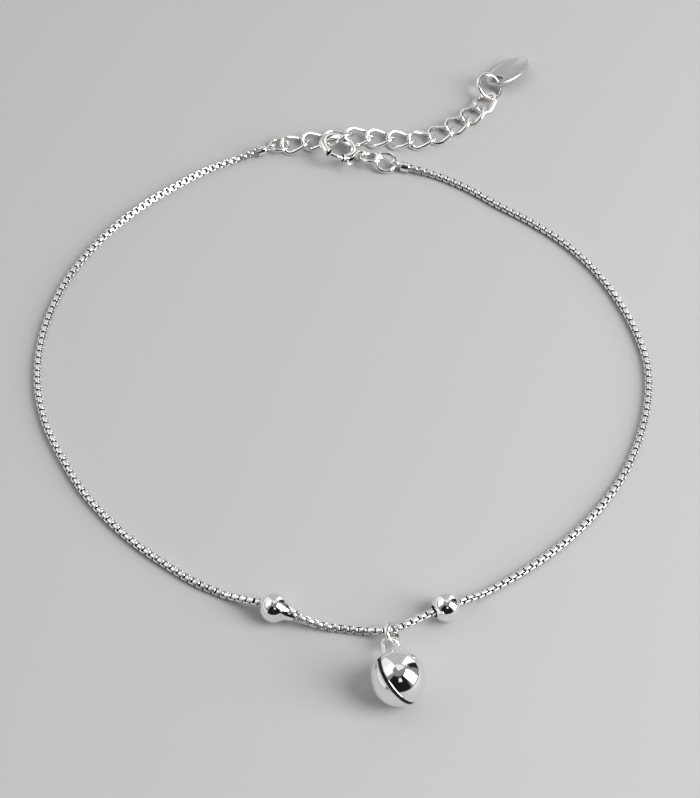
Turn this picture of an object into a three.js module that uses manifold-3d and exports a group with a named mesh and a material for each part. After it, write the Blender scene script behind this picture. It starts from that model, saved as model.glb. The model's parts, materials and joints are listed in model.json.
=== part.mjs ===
// A silver payal anklet lying on a flat surface: a fine box chain with two beads and one
// jingle bell, a spring ring clasp, and an extension chain of curb links with an end tag.
// Millimetres and degrees, +X to the right, +Y away from the viewer, +Z up.

import * as THREE from 'three';
import { mergeVertices } from 'three/addons/utils/BufferGeometryUtils.js';
import Module from 'manifold-3d';

const wasm = await Module();
wasm.setup();

const rad = THREE.MathUtils.degToRad;
const vec = (x, y, z) => new THREE.Vector3(x, y, z);

// Driving dimensions: box chain
const chainWidth = 0.76; // across a square link, corner band to corner band
const bandWidth = 0.44; // width of the strip that a link is bent from
const chainSteps = 80;
const boreClearance = 0.16; // between the chain's corners and a bead's bore, each side

// Driving dimensions: beads
const beadDiameter = 3.1;
const beadWall = 0.25;
const beadFacets = 16;
const neckLength = 1.0; // soldered cone beside the left bead
const neckBaseDiameter = 1.75;
const neckTipDiameter = 1.5;

// Driving dimensions: bell
const bellDiameter = 5.7;
const bellWall = 0.3;
const slotWidth = 0.48;
const slotReach = 107; // from the bell's mouth pole to each end of the slot
const pelletDiameter = 1.6;
const bailWidth = 2.3; // outside
const bailLength = 3.1; // from the bell's skin to the bail's outer end
const bailTurn = 50; // about the bell's axis, counted from square across the slot
const fineWire = 0.42; // bail and small jump rings

// Driving dimensions: clasp
const claspRadius = 1.95; // of the tube's centreline
const claspTube = 1.0; // tube's outer diameter
const claspBore = 0.72;
const gateRod = 0.56;
const gateFrom = 230; // the mouth runs between these angles, counted from +X
const gateTo = 285;
const gateTravel = 25;
const gateTipGap = 2.5; // angle between the closed rod's tip and the tube's end
const gateHidden = 32; // angle of rod inside the tube when closed
const nubAngle = 297;
const nubWidth = 0.36; // stem, along the clasp's axis
const nubBar = 0.95; // thumb bar, along the tube
const nubHeight = 0.42; // thumb bar, outwards
const nubThickness = 0.5; // thumb bar, along the clasp's axis
const nubReach = 3.2; // from the clasp's centre to the bar's outer face
const slideClearance = 0.07;
const eyeAngle = -10;
const eyeWire = 0.45;
const eyeHole = 0.72;

// Driving dimensions: rings, links, caps and tag
const ringWire = 0.45;
const claspRingDiameter = 3.1; // jump ring through the clasp's eye, outside
const endRingDiameter = 2.9; // jump ring at the chain's right end, outside
const leftRingDiameter = 2.7; // jump ring at the chain's left end, outside
const bellRingDiameter = 2.7;
const linkWire = 0.45;
const linkHalfLength = 1.65; // of the wire's centreline
const linkHalfWidth = 1.175;
const linkTwist = -38; // at each end, about the link's length
const linkPitch = 2.65;
const linkHeight = 0.68; // centre of a resting link
const tagRingDiameter = 3.9;
const tagRingWire = 0.55;
const capBore = 1.08;
const capWall = 0.14;
const capLength = 1.3;
const capLoopWire = 0.36;
const capLoopDiameter = 1.5; // outside
const capSeat = 0.05; // between the chain's end and the cup's floor
const solderSeat = 0.4; // share of a loop's or eye's wire that is sunk in its solder
const tagLength = 6.8;
const tagWidth = 4.0;
const tagThickness = 0.5;
const tagHole = 1.5;
const tagHoleInset = 1.35; // from the tag's end to the hole's centre

// Route of the box chain's middle, right end first, round the front to the left end.
// Its few points are chosen by hand; names mark where the beads and the bell sit.
const onFloor = chainWidth / 2;
const chainRoute = [
  { at: [6.35, 35.6, 0.72], name: 'right_end' },
  { at: [7.9, 35.2, 0.65] },
  { at: [10.6, 34.3, onFloor] },
  { at: [14.4, 32.1, onFloor] },
  { at: [17.9, 29.4, onFloor] },
  { at: [21.9, 26.5, onFloor] },
  { at: [25.5, 23.3, onFloor] },
  { at: [28.6, 19.4, onFloor] },
  { at: [31.0, 15.0, onFloor] },
  { at: [32.9, 9.9, onFloor] },
  { at: [33.9, 4.7, onFloor] },
  { at: [33.5, -0.8, onFloor] },
  { at: [32.1, -6.0, onFloor] },
  { at: [30.0, -10.8, onFloor] },
  { at: [27.3, -14.9, onFloor] },
  { at: [24.3, -18.4, onFloor] },
  { at: [21.0, -21.4, onFloor] },
  { at: [17.5, -24.0, onFloor] },
  { at: [14.0, -26.2, 0.5] },
  { at: [11.8, -27.6, 1.3] },
  { at: [10.0, -28.5, 1.55], name: 'bead_right' },
  { at: [8.2, -29.35, 1.6] },
  { at: [4.35, -31.2, 1.5], name: 'bell' },
  { at: [1.7, -30.8, 0.6] },
  { at: [-1.0, -30.4, onFloor] },
  { at: [-3.3, -30.1, 0.7] },
  { at: [-5.3, -29.6, 1.3] },
  { at: [-7.9, -28.6, 1.55], name: 'bead_left' },
  { at: [-9.7, -27.9, 1.6] },
  { at: [-11.4, -27.1, 0.95] },
  { at: [-13.6, -26.1, onFloor] },
  { at: [-16.4, -24.7, onFloor] },
  { at: [-19.7, -22.4, onFloor] },
  { at: [-23.1, -19.7, onFloor] },
  { at: [-26.2, -16.6, onFloor] },
  { at: [-29.1, -13.0, onFloor] },
  { at: [-31.6, -8.8, onFloor] },
  { at: [-33.9, -4.0, onFloor] },
  { at: [-35.3, 1.2, onFloor] },
  { at: [-35.6, 6.7, onFloor] },
  { at: [-34.9, 12.1, onFloor] },
  { at: [-33.3, 17.4, onFloor] },
  { at: [-30.9, 22.1, onFloor] },
  { at: [-27.9, 26.3, onFloor] },
  { at: [-24.5, 29.9, onFloor] },
  { at: [-21.1, 32.7, onFloor] },
  { at: [-17.8, 35.1, onFloor] },
  { at: [-14.3, 36.9, onFloor] },
  { at: [-12.0, 37.9, 0.65] },
  { at: [-10.55, 38.45, 0.72], name: 'left_end' },
];

// Places of the pieces that hang together: centre, or the hole of the tag, and turns
// about Z, then Y, then X
const poses = {
  clasp: { at: [-1.46, 37.81, 1.74], pitch: 19.3, roll: -7 },
  clasp_jump_ring: { at: [2.68, 36.85, 0.92], pitch: 1, roll: -24 },
  chain_end_ring: { at: [4.36, 36.12, 0.87], pitch: 3, roll: 22 },
  extension_jump_ring: { at: [-8.79, 39.27, 0.69], pitch: 0, roll: -9 },
  bell_jump_ring: { at: [4.3, -31.6, 1.36], yaw: 46.6, pitch: 49.8, roll: 34.2 },
  tag_ring: { at: [17.65, 49.04, 1.24], yaw: 55.3, pitch: 4.6, roll: 34.9 },
  tag: { at: [18.71, 50.51, 1.07], yaw: 46.3, pitch: 2.2, roll: -14.4 },
};
const bell = { at: [4.84, -37.73, bellDiameter / 2], axis: [-0.12, 0.96, -0.24], slotNormal: [-0.76, -0.24, -0.61] };

// Extension chain: where its third link lies, and each link's heading and small turns
const hookedLink = { number: 3, at: [-1.6, 40.25] };
const links = [
  { heading: 14 },
  { heading: 8, lift: 0.03 },
  { heading: 4, lift: 0.44, shift: [0.07, -0.2], yaw: -4.4, pitch: -13.5, roll: -15.3 },
  { heading: 1, lift: 0.24, shift: [0, 0.03], pitch: 1, roll: 11.3 },
  { heading: -3, lift: 0.1 },
  { heading: -6 },
  { heading: 12 },
  { heading: 34 },
  { heading: 40 },
  { heading: 44 },
  { heading: 62 },
];

// Chain route as a curve whose cross-section stays upright, and never below the surface
class LevelRoute extends THREE.CatmullRomCurve3 {
  getPoint(t, target) {
    const point = super.getPoint(t, target);
    point.z = Math.max(point.z, onFloor);
    return point;
  }

  computeFrenetFrames(segments) {
    const frames = { tangents: [], normals: [], binormals: [] };
    for (let i = 0; i <= segments; i += 1) {
      const tangent = this.getTangentAt(i / segments);
      const side = vec(0, 0, 1).cross(tangent).normalize();
      const normal = tangent.clone().cross(side);
      frames.tangents.push(tangent);
      frames.normals.push(normal);
      frames.binormals.push(tangent.clone().cross(normal));
    }
    return frames;
  }
}

// An arc about +Z from one angle to another
class ArcRoute extends THREE.Curve {
  constructor(radius, from, to) {
    super();
    Object.assign(this, { radius, from: rad(from), to: rad(to) });
  }

  getPoint(t) {
    const angle = this.from + (this.to - this.from) * t;
    return vec(Math.cos(angle) * this.radius, Math.sin(angle) * this.radius, 0);
  }
}

// Solids for cutting and joining
function solid(geometry) {
  const bare = geometry.clone();
  bare.deleteAttribute('normal');
  bare.deleteAttribute('uv');
  const merged = mergeVertices(bare, 1e-5);
  return new wasm.Manifold(new wasm.Mesh({
    numProp: 3,
    vertProperties: new Float32Array(merged.attributes.position.array),
    triVerts: new Uint32Array(merged.index.array),
  }));
}

function geometryOf(manifold) {
  const mesh = manifold.getMesh();
  const geometry = new THREE.BufferGeometry();
  geometry.setAttribute('position', new THREE.BufferAttribute(mesh.vertProperties, 3));
  geometry.setIndex(new THREE.BufferAttribute(mesh.triVerts, 1));
  geometry.computeVertexNormals();
  return geometry;
}

// Shapes
function disc(diameter, sides, shape = new THREE.Shape()) {
  for (let i = 0; i < sides; i += 1) {
    const angle = (i / sides) * Math.PI * 2;
    const step = i === 0 ? 'moveTo' : 'lineTo';
    shape[step]((Math.cos(angle) * diameter) / 2, (Math.sin(angle) * diameter) / 2);
  }
  shape.closePath();
  return shape;
}

function rod(route, diameter, steps, sides = 6) {
  return new THREE.ExtrudeGeometry(disc(diameter, sides), { extrudePath: route, steps });
}

function wireRing(outerDiameter, wire, around = 20) {
  return new THREE.TorusGeometry((outerDiameter - wire) / 2, wire / 2, 6, around);
}

function ball(diameter, around, upwards) {
  const points = [];
  for (let i = 0; i <= upwards; i += 1) {
    const angle = (i / upwards) * Math.PI;
    const radius = i === 0 || i === upwards ? 0 : (Math.sin(angle) * diameter) / 2;
    points.push(new THREE.Vector2(radius, (-Math.cos(angle) * diameter) / 2));
  }
  return new THREE.LatheGeometry(points, around).rotateX(Math.PI / 2);
}

// Box chain: the plus-shaped outline of square links turned by quarter turns
const route = new LevelRoute(chainRoute.map(({ at }) => vec(...at)));

function placeOnRoute(name) {
  const index = chainRoute.findIndex((point) => point.name === name);
  const t = index / (chainRoute.length - 1);
  return { point: route.getPoint(t), tangent: route.getTangent(t) };
}

function boxChain() {
  const far = chainWidth / 2;
  const near = bandWidth / 2;
  const outline = new THREE.Shape([
    [far, -near], [far, near], [near, near], [near, far], [-near, far], [-near, near],
    [-far, near], [-far, -near], [-near, -near], [-near, -far], [near, -far], [near, -near],
  ].map(([x, y]) => new THREE.Vector2(x, y)));
  return new THREE.ExtrudeGeometry(outline, { extrudePath: route, steps: chainSteps });
}

// Beads: turned hollow balls, drilled for the chain; the left one has a soldered cone
const chainCorner = Math.hypot(chainWidth, bandWidth) / 2;
const beadHole = (chainCorner + boreClearance) * 2;

function bead(withNeck) {
  const outer = beadDiameter / 2;
  const inner = outer - beadWall;
  const bore = beadHole / 2;
  const mouth = Math.asin(bore / outer);
  const innerMouth = Math.asin(bore / inner);
  const profile = [];
  const steps = 9;
  for (let i = 0; i <= steps; i += 1) {
    const angle = mouth + ((Math.PI - 2 * mouth) * i) / steps;
    profile.push([outer * Math.sin(angle), -outer * Math.cos(angle)]);
  }
  if (withNeck) {
    const base = Math.sqrt(outer ** 2 - (neckBaseDiameter / 2) ** 2);
    const tip = outer * Math.cos(mouth) + neckLength;
    profile.splice(steps - 1, 2, [neckBaseDiameter / 2, base], [neckTipDiameter / 2, tip], [bore, tip]);
  }
  for (let i = steps; i >= 0; i -= 1) {
    const angle = innerMouth + ((Math.PI - 2 * innerMouth) * i) / steps;
    profile.push([inner * Math.sin(angle), -inner * Math.cos(angle)]);
  }
  profile.push(profile[0]);
  const points = profile.map(([radius, height]) => new THREE.Vector2(radius, height));
  return new THREE.LatheGeometry(points, beadFacets).rotateX(Math.PI / 2);
}

// Bell: a hollow ball with one slot through its mouth pole, and a wire bail soldered on top
class BailRoute extends THREE.Curve {
  constructor() {
    super();
    this.half = (bailWidth - fineWire) / 2;
    this.foot = Math.sqrt((bellDiameter / 2 - bellWall) ** 2 - this.half ** 2) + bellWall / 2;
    this.bend = bellDiameter / 2 + bailLength - bailWidth / 2;
  }

  getPoint(t) {
    const leg = this.bend - this.foot;
    const bow = Math.PI * this.half;
    const along = t * (bow + 2 * leg) - leg;
    const angle = THREE.MathUtils.clamp(along / bow, 0, 1) * Math.PI;
    const below = Math.max(-along, along - bow, 0);
    return vec(Math.cos(angle) * this.half, 0, this.bend + Math.sin(angle) * this.half - below);
  }
}

function bellShell() {
  const skin = solid(ball(bellDiameter, 28, 14));
  const hollow = solid(ball(bellDiameter - 2 * bellWall, 28, 14));
  const top = (bellDiameter / 2) * -Math.cos(rad(slotReach));
  const cut = new THREE.BoxGeometry(slotWidth, 2 * bellDiameter, bellDiameter);
  cut.translate(0, 0, top - bellDiameter / 2);
  const bail = rod(new BailRoute(), fineWire, 18).rotateZ(rad(bailTurn));
  return geometryOf(skin.subtract(hollow).subtract(solid(cut)).add(solid(bail)));
}

// Clasp: a bored tube bent round, with a mouth that a sprung rod closes
function claspBody() {
  const section = disc(claspTube, 12);
  section.holes.push(disc(claspBore, 12, new THREE.Path()));
  const path = new ArcRoute(claspRadius, gateTo, gateFrom + 360);
  const tube = solid(new THREE.ExtrudeGeometry(section, { extrudePath: path, steps: 20 }));
  const eye = wireRing(eyeHole + 2 * eyeWire, eyeWire, 16);
  eye.rotateX(Math.PI / 2);
  eye.translate(claspRadius + claspTube / 2 + eyeHole / 2 + eyeWire * (1 - solderSeat), 0, 0);
  eye.rotateZ(rad(eyeAngle));
  return geometryOf(tube.subtract(nubSlot()).add(solid(eye)));
}

function nubSlot() {
  const sideways = nubWidth / 2 + slideClearance;
  const end = THREE.MathUtils.radToDeg(sideways / claspRadius);
  const shape = new THREE.Shape([
    new THREE.Vector2(-sideways, 0), new THREE.Vector2(sideways, 0),
    new THREE.Vector2(sideways, claspTube), new THREE.Vector2(-sideways, claspTube),
  ]);
  const path = new ArcRoute(claspRadius, nubAngle - end, nubAngle + gateTravel + end);
  path.computeFrenetFrames = (segments) => arcFrames(path, segments);
  return solid(new THREE.ExtrudeGeometry(shape, { extrudePath: path, steps: 4 }));
}

// Frames of a flat arc: the section's x runs along the arc's axis, its y points outwards
function arcFrames(path, segments) {
  const frames = { tangents: [], normals: [], binormals: [] };
  for (let i = 0; i <= segments; i += 1) {
    const tangent = path.getTangentAt(i / segments);
    frames.tangents.push(tangent);
    frames.normals.push(vec(0, 0, 1));
    frames.binormals.push(tangent.clone().cross(vec(0, 0, 1)));
  }
  return frames;
}

function claspGate() {
  const path = new ArcRoute(claspRadius, gateFrom + gateTipGap, gateTo + gateHidden);
  const pin = solid(rod(path, gateRod, 8, 10));
  const stemLength = nubReach - nubHeight / 4 - claspRadius;
  const stem = new THREE.BoxGeometry(stemLength, nubWidth, nubWidth);
  stem.translate(claspRadius + stemLength / 2, 0, 0);
  const bar = new THREE.CapsuleGeometry(nubHeight / 2, nubBar - nubHeight, 3, 8);
  bar.scale(1, 1, nubThickness / nubHeight);
  bar.translate(nubReach - nubHeight / 2, 0, 0);
  stem.rotateZ(rad(nubAngle));
  bar.rotateZ(rad(nubAngle));
  return geometryOf(pin.add(solid(stem)).add(solid(bar)));
}

// Curb link: an oval wire ring twisted about its length
function curbLink() {
  const around = 24;
  const geometry = new THREE.TorusGeometry(1, linkWire / 2, 6, around);
  const position = geometry.attributes.position;
  const straight = linkHalfLength - linkHalfWidth;
  const outline = new THREE.Shape();
  outline.absarc(straight, 0, linkHalfWidth, -Math.PI / 2, Math.PI / 2);
  outline.absarc(-straight, 0, linkHalfWidth, Math.PI / 2, Math.PI * 1.5);
  outline.closePath();
  const centre = (share) => {
    const { x, y } = outline.getPoint((share + 1) % 1);
    const roll = (rad(linkTwist) * x) / linkHalfLength;
    return vec(x, y * Math.cos(roll), y * Math.sin(roll));
  };
  for (let i = 0; i < position.count; i += 1) {
    const column = i % (around + 1);
    const row = Math.floor(i / (around + 1));
    const share = (column % around) / around;
    const angle = (row / 6) * Math.PI * 2;
    const middle = centre(share);
    const tangent = centre(share + 0.002).sub(centre(share - 0.002)).normalize();
    const outward = middle.clone().addScaledVector(tangent, -middle.dot(tangent)).normalize();
    const upward = outward.clone().cross(tangent);
    middle.addScaledVector(outward, (Math.cos(angle) * linkWire) / 2);
    middle.addScaledVector(upward, (Math.sin(angle) * linkWire) / 2);
    position.setXYZ(i, middle.x, middle.y, middle.z);
  }
  return geometry;
}

// End cap: a short cup over the chain's end with a wire loop soldered to its floor
function chainCap() {
  const outer = capBore / 2 + capWall;
  const cup = new THREE.LatheGeometry([
    [0, -capWall], [outer, -capWall], [outer, capLength - capWall],
    [capBore / 2, capLength - capWall], [capBore / 2, 0], [0, 0],
  ].map(([x, y]) => new THREE.Vector2(x, y)), 12).rotateX(Math.PI / 2);
  const loop = wireRing(capLoopDiameter, capLoopWire, 14).rotateX(Math.PI / 2);
  loop.translate(0, 0, -capLoopDiameter / 2 - capWall + capLoopWire * solderSeat);
  return geometryOf(solid(cup).add(solid(loop)));
}

// Tag: a flat oval disc, drawn from the middle of the hole near its end
function tag() {
  const oval = new THREE.Shape();
  oval.absellipse(tagLength / 2 - tagHoleInset, 0, tagLength / 2, tagWidth / 2, 0, Math.PI * 2);
  const hole = new THREE.Path();
  hole.absarc(0, 0, tagHole / 2, 0, Math.PI * 2);
  oval.holes.push(hole);
  const blank = { depth: tagThickness, bevelEnabled: false, curveSegments: 14 };
  return new THREE.ExtrudeGeometry(oval, blank).translate(0, 0, -tagThickness / 2);
}

// Silver, plain and polished
const anklet = new THREE.Group();

function silver(name, geometry, roughness = 0.16) {
  const material = new THREE.MeshStandardMaterial({ color: 0xe9e6e1, metalness: 1, roughness });
  const mesh = new THREE.Mesh(geometry, material);
  mesh.name = name;
  anklet.add(mesh);
  return mesh;
}

function place(mesh, { at, yaw = 0, pitch = 0, roll = 0 }) {
  mesh.position.set(...at);
  mesh.rotation.set(rad(roll), rad(pitch), rad(yaw), 'ZYX');
}

function aim(mesh, point, direction) {
  mesh.position.copy(point);
  mesh.quaternion.setFromUnitVectors(vec(0, 0, 1), direction.clone().normalize());
}

silver('box_chain', boxChain());

const right = placeOnRoute('bead_right');
aim(silver('bead_right', bead(false)), right.point, right.tangent);
const left = placeOnRoute('bead_left');
aim(silver('bead_left', bead(true)), left.point, left.tangent.clone().negate());

for (const [name, sign] of [['right', 1], ['left', -1]]) {
  const end = placeOnRoute(`${name}_end`);
  const inwards = end.tangent.clone().multiplyScalar(sign);
  const seat = end.point.clone().addScaledVector(inwards, -capSeat);
  aim(silver(`chain_cap_${name}`, chainCap()), seat, inwards);
}

function bellFrame(mesh) {
  const up = vec(...bell.axis).normalize();
  const across = vec(...bell.slotNormal);
  across.addScaledVector(up, -across.dot(up)).normalize();
  const basis = new THREE.Matrix4().makeBasis(across, up.clone().cross(across), up);
  mesh.quaternion.setFromRotationMatrix(basis);
  mesh.position.set(...bell.at);
}

bellFrame(silver('bell', bellShell()));
const pelletDrop = bellDiameter / 2 - bellWall - pelletDiameter / 2 - slideClearance;
const pellet = silver('bell_pellet', ball(pelletDiameter, 12, 8), 0.4);
pellet.position.set(bell.at[0], bell.at[1], bell.at[2] - pelletDrop);
place(silver('bell_jump_ring', wireRing(bellRingDiameter, fineWire)), poses.bell_jump_ring);

place(silver('clasp_ring', claspBody()), poses.clasp);
place(silver('clasp_gate', claspGate()), poses.clasp);
place(silver('clasp_jump_ring', wireRing(claspRingDiameter, ringWire)), poses.clasp_jump_ring);
place(silver('chain_end_ring', wireRing(endRingDiameter, ringWire)), poses.chain_end_ring);
place(silver('extension_jump_ring', wireRing(leftRingDiameter, fineWire)), poses.extension_jump_ring);

// Extension chain, laid out link by link on both sides of the hooked one
const linkPlaces = links.map(() => vec(0, 0, linkHeight));
linkPlaces[hookedLink.number - 1].set(hookedLink.at[0], hookedLink.at[1], linkHeight);

function halfStep(heading, sign) {
  const half = (sign * linkPitch) / 2;
  return vec(Math.cos(rad(heading)) * half, Math.sin(rad(heading)) * half, 0);
}

function layLink(index, sign) {
  const before = links[index - sign].heading;
  linkPlaces[index].copy(linkPlaces[index - sign]);
  linkPlaces[index].add(halfStep(before, sign)).add(halfStep(links[index].heading, sign));
}

for (let i = hookedLink.number; i < links.length; i += 1) layLink(i, 1);
for (let i = hookedLink.number - 2; i >= 0; i -= 1) layLink(i, -1);

links.forEach(({ heading, lift = 0, shift = [0, 0], yaw = 0, pitch = 0, roll = 0 }, index) => {
  const centre = linkPlaces[index].clone().add(vec(...shift, lift));
  const mesh = silver(`extension_link_${String(index + 1).padStart(2, '0')}`, curbLink());
  place(mesh, { at: centre.toArray(), yaw: heading + yaw, pitch, roll });
});

place(silver('tag_ring', wireRing(tagRingDiameter, tagRingWire)), poses.tag_ring);
place(silver('tag', tag()), poses.tag);

// The origin is the middle of the anklet's footprint, on the surface that it lies on
const bounds = new THREE.Box3().setFromObject(anklet, true);
const middle = bounds.getCenter(vec(0, 0, 0));
anklet.position.set(-middle.x, -middle.y, -bounds.min.z);

const model = new THREE.Group();
model.add(anklet);
model.updateMatrixWorld(true);

export default model;
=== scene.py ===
# %% [markdown]
# # A payal anklet in polished silver
# The real anklet is a fine box chain, less than a millimetre across, lying in a loose loop. Two
# hollow beads slide on it, a jingle bell hangs between them, and a spring ring clasp hooks into an
# extension chain that ends in a small tag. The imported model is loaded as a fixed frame. Each plain
# solid in it says where a piece is, and a finer piece made below takes its place.

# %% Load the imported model
import json
import math

import bmesh
import bpy
import numpy as np
from mathutils import Matrix, Vector
from mathutils.geometry import interpolate_bezier

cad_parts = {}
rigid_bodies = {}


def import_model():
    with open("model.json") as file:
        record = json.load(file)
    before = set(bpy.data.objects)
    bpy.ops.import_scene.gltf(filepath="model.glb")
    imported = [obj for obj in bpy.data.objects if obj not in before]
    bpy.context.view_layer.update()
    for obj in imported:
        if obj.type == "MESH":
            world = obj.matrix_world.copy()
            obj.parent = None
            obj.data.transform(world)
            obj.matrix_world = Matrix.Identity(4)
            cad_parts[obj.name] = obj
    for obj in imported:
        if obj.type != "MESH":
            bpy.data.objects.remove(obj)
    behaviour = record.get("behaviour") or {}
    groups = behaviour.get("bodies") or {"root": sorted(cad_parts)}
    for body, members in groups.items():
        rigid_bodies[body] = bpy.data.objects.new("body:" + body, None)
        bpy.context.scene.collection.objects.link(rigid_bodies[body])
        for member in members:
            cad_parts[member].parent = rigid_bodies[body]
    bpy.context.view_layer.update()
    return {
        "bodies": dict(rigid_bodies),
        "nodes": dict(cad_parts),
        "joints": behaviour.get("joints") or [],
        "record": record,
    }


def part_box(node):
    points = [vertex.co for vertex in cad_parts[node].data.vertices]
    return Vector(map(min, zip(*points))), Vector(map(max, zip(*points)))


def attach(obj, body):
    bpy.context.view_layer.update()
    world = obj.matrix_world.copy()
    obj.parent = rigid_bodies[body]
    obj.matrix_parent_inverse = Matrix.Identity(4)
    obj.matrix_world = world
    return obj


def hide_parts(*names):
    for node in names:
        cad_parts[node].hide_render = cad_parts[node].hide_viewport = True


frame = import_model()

MM = 0.001

# %% [markdown]
# ## Reading places from the frame
# A ring can lie at any slant. Its corners are spread least along its axis, so the direction of
# least spread is the axis, and no angle has to be copied by hand. The same sum gives a link's or
# the tag's long direction.

# %% Find a node's middle and its directions
def middle_of(node):
    low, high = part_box(node)
    return (low + high) / 2


def corners_of(node):
    """Each different corner of a node, in metres."""
    corners = np.array([vertex.co for vertex in frame["nodes"][node].data.vertices])
    return np.unique(corners.round(7), axis=0)


def directions_of(node):
    """Directions of least and most spread, the first of them pointing up."""
    corners = corners_of(node)
    spread = np.linalg.eigh(np.cov((corners - corners.mean(axis=0)).T))[1]
    thin, long = Vector(spread[:, 0]), Vector(spread[:, 2])
    return (thin if thin.z > 0 else -thin), long


def placed(centre, across, axis):
    """A matrix that puts a shape at a point, its Z along an axis and its X near another direction."""
    axis = axis.normalized()
    across = (across - axis * across.dot(axis)).normalized()
    turn = Matrix((across, axis.cross(across), axis)).transposed()
    return Matrix.Translation(centre) @ turn.to_4x4()


def ring_place(node):
    """A ring's matrix: its Z along the ring's axis and its X towards the ring's highest point."""
    axis, _ = directions_of(node)
    uphill = Vector((0, 0, 1)) if axis.z < 0.999 else Vector((1, 0, 0))
    return placed(middle_of(node), uphill, axis)


print("bell ring's axis:", [round(part, 2) for part in directions_of("bell_jump_ring")[0]])

# %% [markdown]
# ## The line that the chain follows
# A chain has no stiffness, so nothing but the hand that laid it gives its line. Most points below
# were traced along it in the photograph by a small program, set at their height over the table
# and rounded to a tenth of a millimetre. A smooth curve runs through them. Each stretch between
# two points is a Bezier curve whose handles come from its neighbours, as in the frame, so both
# follow the same line.

# %% The chain's route in metres, from its right end round the front to its left end
CHAIN_ROUTE = [
    (0.00635, 0.03560, 0.00072, "right_end"),
    (0.00790, 0.03520, 0.00065, ""),
    (0.01060, 0.03430, 0.00038, ""),
    (0.01440, 0.03210, 0.00038, ""),
    (0.01790, 0.02940, 0.00038, ""),
    (0.02190, 0.02650, 0.00038, "back_right"),
    (0.02550, 0.02330, 0.00038, ""),
    (0.02860, 0.01940, 0.00038, ""),
    (0.03100, 0.01500, 0.00038, ""),
    (0.03290, 0.00990, 0.00038, ""),
    (0.03390, 0.00470, 0.00038, ""),
    (0.03350, -0.00080, 0.00038, ""),
    (0.03210, -0.00600, 0.00038, ""),
    (0.03000, -0.01080, 0.00038, ""),
    (0.02730, -0.01490, 0.00038, ""),
    (0.02430, -0.01840, 0.00038, ""),
    (0.02100, -0.02140, 0.00038, "front_right"),
    (0.01750, -0.02400, 0.00038, ""),
    (0.01400, -0.02620, 0.00050, ""),
    (0.01180, -0.02760, 0.00130, ""),
    (0.01000, -0.02850, 0.00155, "bead_right"),
    (0.00820, -0.02935, 0.00160, ""),
    (0.00435, -0.03120, 0.00150, "bell"),
    (0.00170, -0.03080, 0.00060, ""),
    (-0.00100, -0.03040, 0.00038, ""),
    (-0.00330, -0.03010, 0.00070, ""),
    (-0.00530, -0.02960, 0.00130, ""),
    (-0.00790, -0.02860, 0.00155, "bead_left"),
    (-0.00970, -0.02790, 0.00160, ""),
    (-0.01140, -0.02710, 0.00095, ""),
    (-0.01360, -0.02610, 0.00038, ""),
    (-0.01640, -0.02470, 0.00038, ""),
    (-0.01970, -0.02240, 0.00038, ""),
    (-0.02310, -0.01970, 0.00038, "front_left"),
    (-0.02620, -0.01660, 0.00038, ""),
    (-0.02910, -0.01300, 0.00038, ""),
    (-0.03160, -0.00880, 0.00038, ""),
    (-0.03390, -0.00400, 0.00038, "far_left"),
    (-0.03530, 0.00120, 0.00038, ""),
    (-0.03560, 0.00670, 0.00038, ""),
    (-0.03490, 0.01210, 0.00038, ""),
    (-0.03330, 0.01740, 0.00038, "upper_left"),
    (-0.03090, 0.02210, 0.00038, ""),
    (-0.02790, 0.02630, 0.00038, ""),
    (-0.02450, 0.02990, 0.00038, "back_left"),
    (-0.02110, 0.03270, 0.00038, ""),
    (-0.01780, 0.03510, 0.00038, ""),
    (-0.01430, 0.03690, 0.00038, ""),
    (-0.01200, 0.03790, 0.00065, ""),
    (-0.01055, 0.03845, 0.00072, "left_end"),
]

# %% Join the points smoothly and measure the chain
LINK_WIDTH = 0.82
ROUTE_STEPS = 30

names = [name for *_, name in CHAIN_ROUTE]
chosen = [Vector(row[:3]) for row in CHAIN_ROUTE]
shift = middle_of("bead_right") - chosen[names.index("bead_right")]
knots = [2 * chosen[0] - chosen[1], *chosen, 2 * chosen[-1] - chosen[-2]]
line = []
for before, start, end, after in zip(knots, knots[1:], knots[2:], knots[3:]):
    gap_in, gap, gap_out = (math.sqrt(d.length) for d in (start - before, end - start, after - end))
    leave = ((start - before) / gap_in - (end - before) / (gap_in + gap)) * gap + (end - start)
    arrive = ((after - end) / gap_out - (after - start) / (gap + gap_out)) * gap + (end - start)
    stretch = interpolate_bezier(start, start + leave / 3, end - arrive / 3, end, ROUTE_STEPS + 1)
    line.extend(stretch[:-1])
line.append(chosen[-1])
line = np.array(line)
line[:, 2] = np.maximum(line[:, 2], LINK_WIDTH / 2 * MM)
line += np.array(shift)
walked = np.concatenate([[0], np.cumsum(np.linalg.norm(np.diff(line, axis=0), axis=1))])
station = {name: walked[index * ROUTE_STEPS] for index, name in enumerate(names) if name}
print("chain's length in mm:", round(walked[-1] / MM, 1))

# %% Stand a frame on the chain at any distance along it
LOOK_AHEAD = 0.2 * MM


def chain_point(distance):
    return Vector([np.interp(distance, walked, line[:, part]) for part in range(3)])


def chain_place(distance, roll=0.0):
    """X runs along the chain and Z points up, then both sides turn about the chain by a roll."""
    along = chain_point(distance + LOOK_AHEAD) - chain_point(distance - LOOK_AHEAD)
    side = Vector((0, 0, 1)).cross(along).normalized()
    up = along.normalized().cross(side)
    turn = Matrix((along.normalized(), side, up)).transposed().to_4x4()
    return Matrix.Translation(chain_point(distance)) @ turn @ Matrix.Rotation(roll, 4, "X")


# %% [markdown]
# ## Camera
# The photograph looks down at the anklet from the front, from about the distance of an arm, with
# a long lens. The camera stands there, level, and aims at the middle of the loop. Its angle,
# distance and lens were fitted so that the chain's links come out evenly long.

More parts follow.
